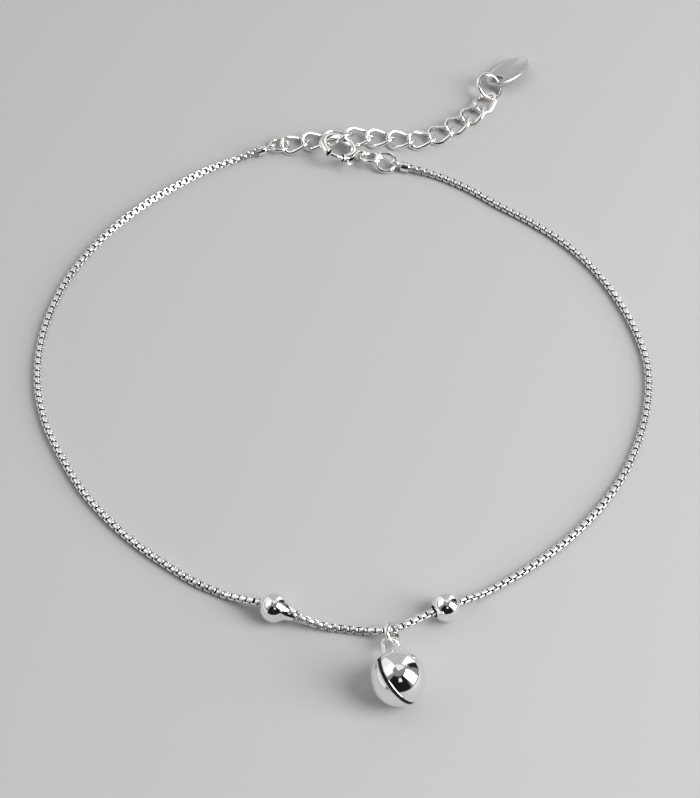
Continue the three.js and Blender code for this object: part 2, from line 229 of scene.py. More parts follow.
# %% Camera
PHOTO_HIGH = 798
FOCAL_IN_PIXELS = 2089.9
CAMERA_RISE = math.radians(52.4)
CAMERA_DISTANCE = 0.23598
SENSOR_WIDTH = 36
NEAREST_SEEN = 0.01

camera_data = bpy.data.cameras.new("camera")
camera_data.sensor_width = SENSOR_WIDTH
camera_data.lens = FOCAL_IN_PIXELS / PHOTO_HIGH * SENSOR_WIDTH
camera_data.clip_start = NEAREST_SEEN
camera = bpy.data.objects.new("camera", camera_data)
towards_camera = Vector((0, -math.cos(CAMERA_RISE), math.sin(CAMERA_RISE)))
camera.location = shift + towards_camera * CAMERA_DISTANCE
camera.rotation_euler = (math.pi / 2 - CAMERA_RISE, 0, 0)
bpy.context.scene.collection.objects.link(camera)
bpy.context.scene.camera = camera
print("lens in mm:", round(camera_data.lens, 1))

# %% [markdown]
# ## Floor and light
# Polished silver has hardly a colour of its own: it shows the room. So the light is designed as
# reflections. The room is a grey tent with white panels: a large one and two low ones on the
# left, one overhead and a narrow one at the back. A soft box on the right gives the shadows.
# Two dark panels, one beside the back one and a large one in front, put the deep accents into
# the bell and the beads.

# %% Floor
FLOOR_HALF = 1.5
FLOOR_TONE = (0.52, 0.52, 0.532, 1)

floor_shape = bmesh.new()
bmesh.ops.create_grid(floor_shape, x_segments=1, y_segments=1, size=FLOOR_HALF)
floor_mesh = bpy.data.meshes.new("floor")
floor_shape.to_mesh(floor_mesh)
floor_shape.free()
floor = bpy.data.objects.new("floor", floor_mesh)
bpy.context.scene.collection.objects.link(floor)

floor_paper = bpy.data.materials.new("pale_paper")
floor_paper.use_nodes = True
paper_nodes, paper_links = floor_paper.node_tree.nodes, floor_paper.node_tree.links
paper = paper_nodes["Principled BSDF"]
paper.inputs["Base Color"].default_value = FLOOR_TONE
paper.inputs["Roughness"].default_value = 0.75
paper.inputs["Specular IOR Level"].default_value = 0.15
paper_grain = paper_nodes.new("ShaderNodeTexNoise")
paper_grain.inputs["Scale"].default_value = 2500
paper_bump = paper_nodes.new("ShaderNodeBump")
paper_bump.inputs["Strength"].default_value = 0.05
paper_bump.inputs["Distance"].default_value = 0.00005
paper_place = paper_nodes.new("ShaderNodeTexCoord")
paper_links.new(paper_place.outputs["Object"], paper_grain.inputs["Vector"])
paper_links.new(paper_grain.outputs["Fac"], paper_bump.inputs["Height"])
paper_links.new(paper_bump.outputs["Normal"], paper.inputs["Normal"])
floor_mesh.materials.append(floor_paper)

# %% Start a node group
def new_group(name, inputs, outputs):
    """An empty shader group with named sockets, and its two ends."""
    group = bpy.data.node_groups.new(name, "ShaderNodeTree")
    for label, kind in inputs:
        group.interface.new_socket(label, in_out="INPUT", socket_type=kind)
    for label, kind in outputs:
        group.interface.new_socket(label, in_out="OUTPUT", socket_type=kind)
    return group, group.nodes.new("NodeGroupInput"), group.nodes.new("NodeGroupOutput")


FLOAT = "NodeSocketFloat"
COLOR = "NodeSocketColor"
VECTOR = "NodeSocketVector"

# %% A node group that marks a rectangular panel of the tent
tent_panel, panel_in, panel_out = new_group(
    "tent_panel",
    [("Direction", VECTOR), ("Bearing", FLOAT), ("Height", FLOAT), ("Half Width", FLOAT),
     ("Half Height", FLOAT), ("Softness", FLOAT)],
    [("Mask", FLOAT)],
)


def panel_math(operation, first, second=None):
    """A math node in the panel group, fed by sockets."""
    node = tent_panel.nodes.new("ShaderNodeMath")
    node.operation = operation
    tent_panel.links.new(first, node.inputs[0])
    if second is not None:
        tent_panel.links.new(second, node.inputs[1])
    return node.outputs["Value"]


def panel_fade(off_centre, half_size):
    """One within half the panel's size, falling smoothly to none over its soft edge."""
    fade = tent_panel.nodes.new("ShaderNodeMapRange")
    fade.interpolation_type = "SMOOTHSTEP"
    outer = panel_math("ADD", half_size, panel_in.outputs["Softness"])
    tent_panel.links.new(off_centre, fade.inputs["Value"])
    tent_panel.links.new(outer, fade.inputs["From Min"])
    tent_panel.links.new(half_size, fade.inputs["From Max"])
    return fade.outputs["Result"]


turn_to_panel = tent_panel.nodes.new("ShaderNodeVectorRotate")
turn_to_panel.rotation_type = "Z_AXIS"
split = tent_panel.nodes.new("ShaderNodeSeparateXYZ")
tent_panel.links.new(panel_in.outputs["Direction"], turn_to_panel.inputs["Vector"])
tent_panel.links.new(panel_in.outputs["Bearing"], turn_to_panel.inputs["Angle"])
tent_panel.links.new(turn_to_panel.outputs["Vector"], split.inputs["Vector"])
sideways = panel_math("ABSOLUTE", panel_math("ARCTAN2", split.outputs["X"], split.outputs["Y"]))
climb = panel_math("ARCSINE", split.outputs["Z"])
upwards = panel_math("ABSOLUTE", panel_math("SUBTRACT", climb, panel_in.outputs["Height"]))
across_mask = panel_fade(sideways, panel_in.outputs["Half Width"])
upright_mask = panel_fade(upwards, panel_in.outputs["Half Height"])
both_masks = panel_math("MULTIPLY", across_mask, upright_mask)
tent_panel.links.new(both_masks, panel_out.inputs["Mask"])

# %% The tent: one panel after another is laid over the last
TENT_BASE = (0.27, 0.265, 0.265, 1)

world = bpy.data.worlds.new("light_tent")
world.use_nodes = True
bpy.context.scene.world = world
tent_nodes, tent_links = world.node_tree.nodes, world.node_tree.links
tent_direction = tent_nodes.new("ShaderNodeTexCoord").outputs["Generated"]
tent_base = tent_nodes.new("ShaderNodeRGB")
tent_base.outputs["Color"].default_value = TENT_BASE


def lay_over(below, tone, bearing, height, half_width, half_height, softness):
    """Mixes a panel's tone over the tent so far. Bearings are in degrees from the back."""
    panel = tent_nodes.new("ShaderNodeGroup")
    panel.node_tree = tent_panel
    panel.inputs["Bearing"].default_value = math.radians(bearing)
    panel.inputs["Height"].default_value = math.radians(height)
    panel.inputs["Half Width"].default_value = math.radians(half_width)
    panel.inputs["Half Height"].default_value = math.radians(half_height)
    panel.inputs["Softness"].default_value = math.radians(softness)
    tent_links.new(tent_direction, panel.inputs["Direction"])
    mix = tent_nodes.new("ShaderNodeMix")
    mix.data_type = "RGBA"
    tent_links.new(panel.outputs["Mask"], mix.inputs[0])
    tent_links.new(below, mix.inputs[6])
    mix.inputs[7].default_value = (tone, tone, tone, 1)
    return mix.outputs[2]


tent = tent_base.outputs["Color"]
tent = lay_over(tent, 0.5, bearing=12, height=20, half_width=32, half_height=30, softness=18)
tent = lay_over(tent, 1.1, bearing=-69, height=46, half_width=38, half_height=20, softness=5)
tent = lay_over(tent, 0.9, bearing=-44, height=14, half_width=14, half_height=24, softness=5)
tent = lay_over(tent, 0.8, bearing=-100, height=4, half_width=48, half_height=8, softness=6)
tent = lay_over(tent, 1.1, bearing=33, height=27, half_width=9, half_height=27, softness=5)
tent = lay_over(tent, 0.9, bearing=15, height=78, half_width=38, half_height=12, softness=10)
tent = lay_over(tent, 0.02, bearing=54, height=15, half_width=7, half_height=25, softness=4)
tent = lay_over(tent, 0.012, bearing=179, height=34, half_width=44, half_height=28, softness=10)
tent = lay_over(tent, 0.9, bearing=167, height=52, half_width=9, half_height=6, softness=3)
tent_links.new(tent, tent_nodes["Background"].inputs["Color"])

# %% The soft box
def soft_box(name, towards, distance, size, power, tone):
    """A rectangular light that faces the middle of the loop from a direction."""
    light = bpy.data.lights.new(name, "AREA")
    light.shape = "RECTANGLE"
    light.size, light.size_y = size
    light.energy = power
    light.color = tone
    lamp = bpy.data.objects.new(name, light)
    outwards = Vector(towards).normalized()
    lamp.location = shift + outwards * distance
    lamp.rotation_mode = "QUATERNION"
    lamp.rotation_quaternion = outwards.to_track_quat("Z", "Y")
    bpy.context.scene.collection.objects.link(lamp)


KEY_TOWARDS = (0.783, -0.24, 0.574)
KEY_DISTANCE = 0.5
KEY_SIZE = (0.3, 0.5)
KEY_POWER = 3.4
KEY_TONE = (1, 0.985, 0.97)

soft_box("key_box", KEY_TOWARDS, KEY_DISTANCE, KEY_SIZE, KEY_POWER, KEY_TONE)
bpy.context.scene.view_settings.view_transform = "Standard"

# %% [markdown]
# ## Silver finishes
# Sterling silver is a warm, very light metal. Hand polishing leaves it a mirror with a faint
# cloudiness, and drawn wire keeps fine lines. One node group gives every silver piece that
# cloudiness, each with its own tones and scale. Metallic stays on the shader itself.

# %% A node group for polished metal
hand_polish, polish_in, polish_out = new_group(
    "hand_polish",
    [("Tone", COLOR), ("Shade", COLOR), ("Gloss", FLOAT), ("Haze", FLOAT), ("Cloud Scale", FLOAT),
     ("Grain Scale", FLOAT)],
    [("Color", COLOR), ("Roughness", FLOAT), ("Height", FLOAT)],
)
polish_place = hand_polish.nodes.new("ShaderNodeTexCoord")
clouds = hand_polish.nodes.new("ShaderNodeTexNoise")
clouds.inputs["Detail"].default_value = 3
grain = hand_polish.nodes.new("ShaderNodeTexNoise")
grain.inputs["Detail"].default_value = 2
haze_range = hand_polish.nodes.new("ShaderNodeMapRange")
haze_range.inputs["From Min"].default_value = 0.35
haze_range.inputs["From Max"].default_value = 0.7
tone_mix = hand_polish.nodes.new("ShaderNodeMix")
tone_mix.data_type = "RGBA"
wiring = [
    (polish_place.outputs["Object"], clouds.inputs["Vector"]),
    (polish_place.outputs["Object"], grain.inputs["Vector"]),
    (polish_in.outputs["Cloud Scale"], clouds.inputs["Scale"]),
    (polish_in.outputs["Grain Scale"], grain.inputs["Scale"]),
    (clouds.outputs["Fac"], haze_range.inputs["Value"]),
    (polish_in.outputs["Gloss"], haze_range.inputs["To Min"]),
    (polish_in.outputs["Haze"], haze_range.inputs["To Max"]),
    (clouds.outputs["Fac"], tone_mix.inputs[0]),
    (polish_in.outputs["Tone"], tone_mix.inputs[6]),
    (polish_in.outputs["Shade"], tone_mix.inputs[7]),
    (tone_mix.outputs[2], polish_out.inputs["Color"]),
    (haze_range.outputs["Result"], polish_out.inputs["Roughness"]),
    (grain.outputs["Fac"], polish_out.inputs["Height"]),
]
for source, target in wiring:
    hand_polish.links.new(source, target)

# %% One material from the group
def metal(name, tone, shade, gloss, haze, cloud_scale=900.0, grain_scale=6000.0, bump=0.05):
    """A metal with two tones, a range of roughness and a fine bump, scales in marks a metre."""
    material = bpy.data.materials.new(name)
    material.use_nodes = True
    nodes, links = material.node_tree.nodes, material.node_tree.links
    shader = nodes["Principled BSDF"]
    shader.inputs["Metallic"].default_value = 1
    polish = nodes.new("ShaderNodeGroup")
    polish.node_tree = hand_polish
    polish.inputs["Tone"].default_value = (*tone, 1)
    polish.inputs["Shade"].default_value = (*shade, 1)
    polish.inputs["Gloss"].default_value = gloss
    polish.inputs["Haze"].default_value = haze
    polish.inputs["Cloud Scale"].default_value = cloud_scale
    polish.inputs["Grain Scale"].default_value = grain_scale
    relief = nodes.new("ShaderNodeBump")
    relief.inputs["Strength"].default_value = bump
    relief.inputs["Distance"].default_value = 0.01 * MM
    links.new(polish.outputs["Color"], shader.inputs["Base Color"])
    links.new(polish.outputs["Roughness"], shader.inputs["Roughness"])
    links.new(polish.outputs["Height"], relief.inputs["Height"])
    links.new(relief.outputs["Normal"], shader.inputs["Normal"])
    return material


# %% The finishes
mirror_silver = metal("mirror_silver", (0.95, 0.94, 0.92), (0.9, 0.885, 0.865), 0.035, 0.09)
wire_silver = metal("wire_silver", (0.95, 0.935, 0.915), (0.88, 0.86, 0.84), 0.08, 0.17)
chain_silver = metal("chain_silver", (0.97, 0.955, 0.94), (0.9, 0.88, 0.865), 0.2, 0.34, 1500)
# The near-black inner finish is painted shade inside the links, the beads and the clasp's tube, and oxide
# with painted shade inside the bell.
shade_and_oxide_silver = metal("shade_and_oxide_silver", (0.05, 0.045, 0.04), (0.02, 0.018, 0.016), 0.4, 0.6, 1500)
tag_silver = metal("tag_silver", (0.78, 0.765, 0.75), (0.66, 0.645, 0.63), 0.24, 0.4, 1200, 9000, 0.3)
pellet_steel = metal("pellet_steel", (0.46, 0.45, 0.44), (0.33, 0.32, 0.31), 0.3, 0.5, 1500)
print("finishes:", len(bpy.data.materials))

# %% [markdown]
# ## Tools of the bench
# Every piece is shaped in millimetres, then shrunk to metres and put in its place as it is kept,
# so that its object stays unturned at the origin. A wire is a circle that is extruded through a
# list of frames. A sharp rim is bevelled, because only a rounded edge catches the light.

# %% Keep a shape as a piece of the object
def keep(shape, name, node, place, materials, body="anklet"):
    """Puts a shape at its place as a smooth piece that stands for a node and rides on its body."""
    bmesh.ops.remove_doubles(shape, verts=shape.verts, dist=0.0005)
    bmesh.ops.recalc_face_normals(shape, faces=shape.faces)
    bmesh.ops.transform(shape, matrix=place @ Matrix.Scale(MM, 4), verts=shape.verts)
    mesh = bpy.data.meshes.new(name)
    shape.to_mesh(mesh)
    shape.free()
    mesh.shade_smooth()
    mesh.set_sharp_from_angle(angle=math.radians(50))
    for material in materials:
        mesh.materials.append(material)
    piece = bpy.data.objects.new(name, mesh)
    bpy.context.scene.collection.objects.link(piece)
    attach(piece, body)
    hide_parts(node)
    print(name, "has", len(mesh.polygons), "faces")
    return piece


# %% Draw a wire through frames, and round an edge
def edges_of(corners):
    """The edges at some corners, each once and always in the same order."""
    return list(dict.fromkeys(edge for corner in corners for edge in corner.link_edges))


def sweep(shape, frames, radii, sides=16, closed=False):
    """Skins a round wire through frames whose Z runs along it, with one radius for each frame."""
    radii = [radii] * len(frames) if isinstance(radii, float) else list(radii)
    start = frames[0] @ Matrix.Diagonal((radii[0], radii[0], 1, 1))
    circle = bmesh.ops.create_circle(shape, segments=sides, radius=1, matrix=start)["verts"]
    first = edges_of(circle)
    loop = first
    steps = zip(frames, frames[1:], radii, radii[1:])
    for before, after, thick, thin in steps:
        made = bmesh.ops.extrude_edge_only(shape, edges=loop)["geom"]
        moved = {item for item in made if isinstance(item, bmesh.types.BMVert)}
        change = after @ Matrix.Scale(thin / thick, 4) @ before.inverted()
        bmesh.ops.transform(shape, matrix=change, verts=list(moved))
        edges = [item for item in made if isinstance(item, bmesh.types.BMEdge)]
        loop = [edge for edge in edges if moved.issuperset(edge.verts)]
    if closed:
        bmesh.ops.bridge_loops(shape, edges=first + loop)
    else:
        bmesh.ops.edgeloop_fill(shape, edges=first)
        bmesh.ops.edgeloop_fill(shape, edges=loop)


def arc_frames(radius, start, end, steps):
    """Frames along an arc about Z, between two angles in degrees."""
    stand = Matrix.Translation((radius, 0, 0)) @ Matrix.Rotation(-math.pi / 2, 4, "X")
    angles = np.linspace(math.radians(start), math.radians(end), steps + 1)
    return [Matrix.Rotation(angle, 4, "Z") @ stand for angle in angles]


def soften(shape, radius, segments=2, sharper_than=50):
    """Rounds the edges at which two faces meet at more than an angle."""
    bmesh.ops.recalc_face_normals(shape, faces=shape.faces)
    shape.normal_update()
    limit = math.radians(sharper_than)
    edges = [edge for edge in shape.edges if len(edge.link_faces) == 2 and edge.calc_face_angle() > limit]
    bmesh.ops.bevel(
        shape, geom=edges, offset=radius, offset_type="OFFSET", segments=segments,
        profile=0.5, affect="EDGES", material=-1,
    )


def turned(shape, outline, steps=48):
    """Spins an outline of (radius, height) points about Z."""
    points = [shape.verts.new((radius, 0, height)) for radius, height in outline]
    edges = [shape.edges.new(pair) for pair in zip(points, points[1:])]
    bmesh.ops.spin(
        shape, geom=points + edges, axis=(0, 0, 1), cent=(0, 0, 0),
        angle=2 * math.pi, steps=steps, use_merge=True,
    )
    bmesh.ops.remove_doubles(shape, verts=shape.verts, dist=0.0005)


# %% [markdown]
# ## Box chain
# A box chain is made of short strips bent into squares. Each link stands at a quarter turn to the
# last and hooks through it. One link is a cube with two open ends, rounded, given a wall and
# repeated along the route. The chain was never quite straight in the hand, so it also rolls.
# The links are drawn 0.06 mm wider than the frame's plain tube, nearer to the photograph's.

# %% One square link
STRIP_WIDTH = 0.43
STRIP_THICKNESS = 0.14
LINK_CORNER = 0.13
LINK_PITCH = 0.475
LINK_RIM = 0.03


def square_link():
    """A square link lying along X, its hole along Z, as a mesh in metres."""
    link = bmesh.new()
    bmesh.ops.create_cube(link, size=1)
    bmesh.ops.scale(link, vec=(LINK_WIDTH, LINK_WIDTH, STRIP_WIDTH), verts=link.verts)
    openings = [face for face in link.faces if abs(face.normal.z) > 0.5]
    bmesh.ops.delete(link, geom=openings, context="FACES_ONLY")
    bends = [edge for edge in link.edges if abs(edge.verts[0].co.z - edge.verts[1].co.z) > STRIP_WIDTH / 2]
    bmesh.ops.bevel(
        link, geom=bends, offset=LINK_CORNER, offset_type="OFFSET", segments=3,
        profile=0.5, affect="EDGES", material=-1,
    )
    bmesh.ops.recalc_face_normals(link, faces=link.faces)
    # Faces left out of this set, which are the walls facing the next links, and the inner faces get the
    # near-black finish: painted shade inside the link and where it meets its neighbours.
    unshaded_faces = {face for face in link.faces if abs(face.normal.x) < 0.9}
    bmesh.ops.solidify(link, geom=link.faces[:], thickness=STRIP_THICKNESS)
    link.normal_update()
    for face in link.faces:
        face.material_index = 0 if face in unshaded_faces or abs(face.normal.z) > 0.5 else 1
    soften(link, LINK_RIM, segments=1, sharper_than=60)
    bmesh.ops.scale(link, vec=(MM, MM, MM), verts=link.verts)
    mesh = bpy.data.meshes.new("square_link")
    link.to_mesh(mesh)
    link.free()
    return mesh


# %% Roll of the chain along its route, in degrees
CHAIN_ROLL = [
    ("right_end", 25),
    ("back_right", 8),
    ("front_right", 0),
    ("bead_right", 10),
    ("bell", -22),
    ("bead_left", -24),
    ("front_left", -12),
    ("far_left", 4),
    ("upper_left", 6),
    ("back_left", 42),
    ("left_end", 45),
]

# %% Lay the links
one_link = square_link()
chain = bmesh.new()
roll_stations = [station[name] for name, _ in CHAIN_ROLL]
rolls = [math.radians(degrees) for _, degrees in CHAIN_ROLL]
for index in range(int(walked[-1] / (LINK_PITCH * MM))):
    distance = (index + 0.5) * LINK_PITCH * MM
    roll = np.interp(distance, roll_stations, rolls) + (index % 2) * math.pi / 2
    link_mesh = one_link.copy()
    link_mesh.transform(chain_place(distance, roll))
    chain.from_mesh(link_mesh)
    bpy.data.meshes.remove(link_mesh)
bpy.data.meshes.remove(one_link)
bmesh.ops.scale(chain, vec=(1 / MM, 1 / MM, 1 / MM), verts=chain.verts)
keep(chain, "box_chain_links", "box_chain", Matrix(), [chain_silver, shade_and_oxide_silver])

# %% [markdown]
# ## Beads
# Each bead is two pressed halves soldered into a hollow ball and drilled for the chain. A sphere
# is cut off at both holes and given a wall. The left one has a small soldered cone, made by
# pulling out the rim of its hole. Such a bead is thinner, so that its cone fits the chain.

# %% Make the two beads
BEAD_RADIUS = 1.55
BEAD_HOLE = 0.66
BEAD_WALL = 0.25
NECK_WALL = 0.1
NECK_START = 1.1
NECK_RINGS = [(0.98, 1.25), (0.86, 1.43), (0.76, 1.66), (0.7, 1.92), (0.66, 2.18), (0.64, 2.43)]


def open_ball(shape, radius, low_hole, high_hole, rings=64):
    """A sphere about Z with its two poles cut off where they are as wide as the holes."""
    bmesh.ops.create_uvsphere(shape, u_segments=rings, v_segments=rings // 2, radius=radius)
    for hole, way in ((low_hole, -1), (high_hole, 1)):
        height = math.sqrt(radius**2 - hole**2)
        geometry = shape.verts[:] + shape.edges[:] + shape.faces[:]
        bmesh.ops.bisect_plane(
            shape, geom=geometry, plane_co=(0, 0, way * height), plane_no=(0, 0, way), clear_outer=True,
        )


def bead(with_neck):
    """A bead about Z, its neck upwards."""
    ball = bmesh.new()
    open_ball(ball, BEAD_RADIUS, BEAD_HOLE, NECK_START if with_neck else BEAD_HOLE)
    if with_neck:
        rim = [edge for edge in ball.edges if edge.is_boundary and edge.verts[0].co.z > 0]
        for radius, height in NECK_RINGS:
            made = bmesh.ops.extrude_edge_only(ball, edges=rim)["geom"]
            ring = {item for item in made if isinstance(item, bmesh.types.BMVert)}
            for vertex in ring:
                flat = vertex.co.xy.normalized() * radius
                vertex.co = (flat.x, flat.y, height)
            edges = [item for item in made if isinstance(item, bmesh.types.BMEdge)]
            rim = [edge for edge in edges if ring.issuperset(edge.verts)]
    bmesh.ops.recalc_face_normals(ball, faces=ball.faces)
    outside = set(ball.faces)
    bmesh.ops.solidify(ball, geom=ball.faces[:], thickness=NECK_WALL if with_neck else BEAD_WALL)
    # The bead's inner faces get the near-black finish: painted shade inside the hollow ball, seen through
    # its holes.
    for face in ball.faces:
        face.material_index = 0 if face in outside else 1
    soften(ball, 0.05)
    return ball


for node, name, backwards in (("bead_right", "bead_right", 1), ("bead_left", "bead_left", -1)):
    on_chain = chain_place(station[name])
    along = on_chain.col[0].xyz * backwards
    place = placed(on_chain.translation, Vector((0, 0, 1)), along)
    keep(bead(backwards < 0), f"{node}_silver", node, place, [mirror_silver, shade_and_oxide_silver])

# %% [markdown]
# ## Jump rings
# A jump ring is a turn of wire whose two cut ends meet. A full torus would hide that, so the wire
# is swept almost all the way round and its two flat ends are left a hair apart.

# %% Make the jump rings
RING_WIRE = {
    "bell_jump_ring": 0.46,
    "clasp_jump_ring": 0.5,
    "chain_end_ring": 0.5,
    "extension_jump_ring": 0.46,
    "tag_ring": 0.59,
}
SEAM_ANGLE = {
    "bell_jump_ring": 215,
    "clasp_jump_ring": 100,
    "chain_end_ring": 250,
    "extension_jump_ring": 160,
    "tag_ring": 300,
}
SEAM_GAP = 0.03


def outer_radius(node):
    """A ring's outer radius in millimetres, read from its node."""
    return max((Vector(corner) - middle_of(node)).length for corner in corners_of(node)) / MM


for node, wire in RING_WIRE.items():
    radius = outer_radius(node) - wire / 2
    half_gap = math.degrees(SEAM_GAP / 2 / radius)
    seam = SEAM_ANGLE[node]
    ring = bmesh.new()
    sweep(ring, arc_frames(radius, seam + half_gap, seam + 360 - half_gap, 72), wire / 2, sides=20)
    soften(ring, 0.03, segments=2, sharper_than=60)
    keep(ring, f"{node}_silver", node, ring_place(node), [wire_silver])

# %% [markdown]
# ## Curb links
# The extension chain's links are ovals of wire, pressed flat and twisted, so that each one lies
# down on the next. The oval is swept as two half turns joined by short straights, and then every
# point turns about the link's length by as much as it lies along it.

# %% Make the extension chain
CURB_WIRE = 0.54
CURB_HALF_LENGTH = 1.65
CURB_HALF_WIDTH = 1.175
CURB_TWIST = math.radians(-38)


def curb_link():
    """A twisted oval link about Z, its length along X."""
    straight = CURB_HALF_LENGTH - CURB_HALF_WIDTH
    frames = []
    for side in (1, -1):
        half_turn = arc_frames(CURB_HALF_WIDTH, -90 * side, 180 - 90 * side, 20)
        arc = [Matrix.Translation((side * straight, 0, 0)) @ frame for frame in half_turn]
        steps = [Matrix.Translation((-side * straight * part / 2, 0, 0)) @ arc[-1] for part in (1, 2, 3)]
        frames += arc + steps
    link = bmesh.new()
    sweep(link, frames, CURB_WIRE / 2, sides=16, closed=True)
    for vertex in link.verts:
        turn = Matrix.Rotation(CURB_TWIST * vertex.co.x / CURB_HALF_LENGTH, 3, "X")
        vertex.co = turn @ vertex.co
    return link


link_nodes = sorted(node for node in frame["nodes"] if node.startswith("extension_link"))
for node in link_nodes:
    axis, long = directions_of(node)
    place = placed(middle_of(node), long, axis)
    keep(curb_link(), f"{node}_silver", node, place, [wire_silver])

# %% [markdown]
# ## Chain ends
# The chain's last links are soldered into a small turned cup, and a loop of wire on its floor
# takes the jump ring. The cup is an outline spun about its axis.

# %% Make the two end cups
CUP_RADIUS = 0.64
CUP_BORE = 0.54
CUP_DEPTH = 1.0
CUP_FLOOR = 0.14
CUP_ROUNDING = 0.2
CUP_SEAT = 0.05
CUP_LOOP_WIRE = 0.36
CUP_LOOP_RADIUS = 0.57
CUP_LOOP_GAP = 0.04


def end_cup():
    """A cup opening along Z with a wire loop below its floor."""
    cup = bmesh.new()
    turned(cup, [
        (0, -CUP_FLOOR), (CUP_RADIUS - CUP_ROUNDING, -CUP_FLOOR), (CUP_RADIUS, CUP_ROUNDING - CUP_FLOOR),
        (CUP_RADIUS, CUP_DEPTH), (CUP_BORE, CUP_DEPTH), (CUP_BORE, 0), (0, 0),
    ])
    soften(cup, 0.05, segments=3, sharper_than=40)
    loop_centre = (0, 0, -CUP_FLOOR - CUP_LOOP_RADIUS - CUP_LOOP_GAP)
    stand = Matrix.Translation(loop_centre) @ Matrix.Rotation(math.pi / 2, 4, "X")
    loop = [stand @ frame for frame in arc_frames(CUP_LOOP_RADIUS, 0, 350, 35)]
    sweep(cup, loop, CUP_LOOP_WIRE / 2, sides=16, closed=True)
    return cup


for side, way in (("right", 1), ("left", -1)):
    end = chain_place(station[f"{side}_end"])
    inwards = end.col[0].xyz * way
    seat = end.translation - inwards * CUP_SEAT * MM
    turn = Vector((0, 0, 1)).rotation_difference(inwards).to_matrix().to_4x4()
    place = Matrix.Translation(seat) @ turn
    keep(end_cup(), f"chain_cap_{side}_silver", f"chain_cap_{side}", place, [wire_silver])

# %% [markdown]
# ## Bell
# The bell is a hollow ball of thin silver with one long slot, from which the sound comes, and a
# loose pellet inside. Its poles are laid on the slot's sides, so the slot is a clean band of the
# sphere. The band is cut away, the rim is pressed slightly outwards, and the sheet gets its wall.

# %% Where the bell lies
BELL_RADIUS = 2.85
BELL_AXIS = Vector((-0.12, 0.96, -0.24))
SLOT_NORMAL = Vector((-0.76, -0.24, -0.61))
BAIL_TURN = math.radians(50)

bell_centre = middle_of("bell_pellet")
bell_centre.z = BELL_RADIUS * MM
bell_place = placed(bell_centre, SLOT_NORMAL, BELL_AXIS)

# %% Make the shell
BELL_WALL = 0.3
SLOT_WIDTH = 0.38
SLOT_REACH = math.radians(107)
LIP_WIDTH = 0.15
LIP_HEIGHT = 0.09
LIP_ROUNDING = 0.07


def cut(shape, point, normal):
    geometry = shape.verts[:] + shape.edges[:] + shape.faces[:]
    bmesh.ops.bisect_plane(shape, geom=geometry, plane_co=point, plane_no=normal)


bell = bmesh.new()
bmesh.ops.create_uvsphere(bell, u_segments=128, v_segments=72, radius=BELL_RADIUS)
bmesh.ops.rotate(bell, matrix=Matrix.Rotation(math.pi / 2, 3, "Y"), verts=bell.verts)
slot_top = -BELL_RADIUS * math.cos(SLOT_REACH)
for edge_place in (SLOT_WIDTH / 2, SLOT_WIDTH / 2 + LIP_WIDTH):
    for way in (-1, 1):
        cut(bell, (way * edge_place, 0, 0), (1, 0, 0))
cut(bell, (0, 0, slot_top), (0, 0, 1))
slot_faces = [
    face for face in bell.faces
    if abs(face.calc_center_median().x) < SLOT_WIDTH / 2 and face.calc_center_median().z < slot_top
]
bmesh.ops.delete(bell, geom=slot_faces, context="FACES")
for vertex in bell.verts:
    if vertex.is_boundary:
        vertex.co *= 1 + LIP_HEIGHT / BELL_RADIUS
bmesh.ops.recalc_face_normals(bell, faces=bell.faces)
outside = set(bell.faces)
bmesh.ops.solidify(bell, geom=bell.faces[:], thickness=BELL_WALL)
# The shell's inner faces get the near-black finish: oxide with painted shade inside the bell, seen through
# the slot.
for face in bell.faces:
    face.material_index = 0 if face in outside else 1
soften(bell, LIP_ROUNDING, segments=3)
print("slot's opening is cut from", len(slot_faces), "faces")

# %% Solder on the bail
BAIL_WIRE = 0.42
BAIL_HALF = 0.94
BAIL_BEND = 4.8

bail_foot = math.sqrt((BELL_RADIUS - BELL_WALL / 2) ** 2 - BAIL_HALF**2)
leg_heights = np.linspace(bail_foot, BAIL_BEND, 9)
bail_frames = [Matrix.Translation((BAIL_HALF, 0, height)) for height in leg_heights]
for angle in np.linspace(0, math.pi, 25)[1:]:
    bend = Matrix.Translation((0, 0, BAIL_BEND)) @ Matrix.Rotation(-angle, 4, "Y")
    bail_frames.append(bend @ Matrix.Translation((BAIL_HALF, 0, 0)))
for height in leg_heights[-2::-1]:
    bail_frames.append(Matrix.Translation((-BAIL_HALF, 0, height)) @ Matrix.Rotation(math.pi, 4, "Y"))
solder = [1.55, 1.25, 1.08]
swell = solder + [1.0] * (len(bail_frames) - 2 * len(solder)) + solder[::-1]
turn_bail = Matrix.Rotation(BAIL_TURN, 4, "Z")
sweep(bell, [turn_bail @ step for step in bail_frames], [BAIL_WIRE / 2 * share for share in swell])
keep(bell, "bell_silver", "bell", bell_place, [mirror_silver, shade_and_oxide_silver])

# %% The pellet inside
PELLET_RADIUS = 0.8

pellet = bmesh.new()
bmesh.ops.create_icosphere(pellet, subdivisions=4, radius=PELLET_RADIUS)
pellet_place = Matrix.Translation(middle_of("bell_pellet"))
keep(pellet, "bell_pellet_steel", "bell_pellet", pellet_place, [pellet_steel])

# %% [markdown]
# ## Spring ring clasp
# The clasp is a bent tube with a gap. A sprung rod inside it closes the gap, and a thumb bar on
# the rod comes out through a slot. The tube is swept as a sheet, so that the slot can be cut
# before the sheet gets its wall. The rod is a piece of its own, because it slides.

# %% Where the clasp lies
EYE_ANGLE = math.radians(-10)

slide = frame["joints"][0]
clasp_centre = Vector(slide["pos_m"])
clasp_axis = Vector(slide["axis"]).normalized()
to_eye = max((Vector(corner) - clasp_centre for corner in corners_of("clasp_ring")), key=lambda v: v.length)
clasp_place = placed(clasp_centre, Matrix.Rotation(-EYE_ANGLE, 3, clasp_axis) @ to_eye, clasp_axis)

